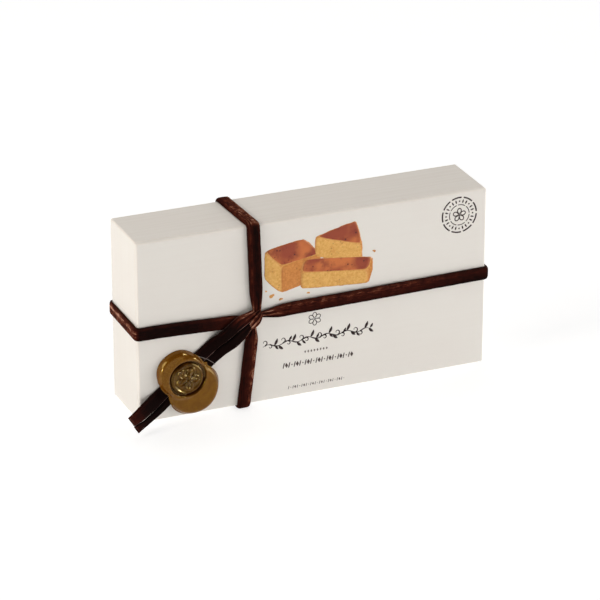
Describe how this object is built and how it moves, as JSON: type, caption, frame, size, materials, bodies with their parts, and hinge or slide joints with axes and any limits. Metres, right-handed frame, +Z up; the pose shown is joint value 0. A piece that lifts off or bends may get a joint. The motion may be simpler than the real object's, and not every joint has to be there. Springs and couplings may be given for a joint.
{
  "type": "shut gift box of nougat",
  "caption": "Shut white wooden gift box of nougat on its long side, tied both ways with a dark brown velvet ribbon whose tails run under a stamped bronze wax seal.",
  "frame": {"origin": "bottom centre of the whole part, on the plane that the pass of ribbon under the box rests on", "axes": "+X along the box's length, away from the seal's end; -Y points out of the printed lid; +Z up, with the box standing on its long narrow side"},
  "size_m": [0.2122, 0.0554, 0.1064],
  "materials": {
    "box_wood": "white-washed fine-grained wood, satin, with softly rounded edges",
    "ribbon_velvet": "dark brown velvet with a short pile and thin pale selvages",
    "seal_wax": "bronze sealing wax, glossy with a pearly sheen",
    "fine_thread": "fine pale grey-brown thread"
  },
  "bodies": {
    "root": {"box_tray": "box_wood", "box_lid": "box_wood", "ribbon_long_way": "ribbon_velvet", "ribbon_short_way": "ribbon_velvet", "ribbon_knot": "ribbon_velvet", "ribbon_tail_upper": "ribbon_velvet", "ribbon_tail_lower": "ribbon_velvet", "wax_seal": "seal_wax", "seal_thread": "fine_thread"}
  },
  "joints": []
}
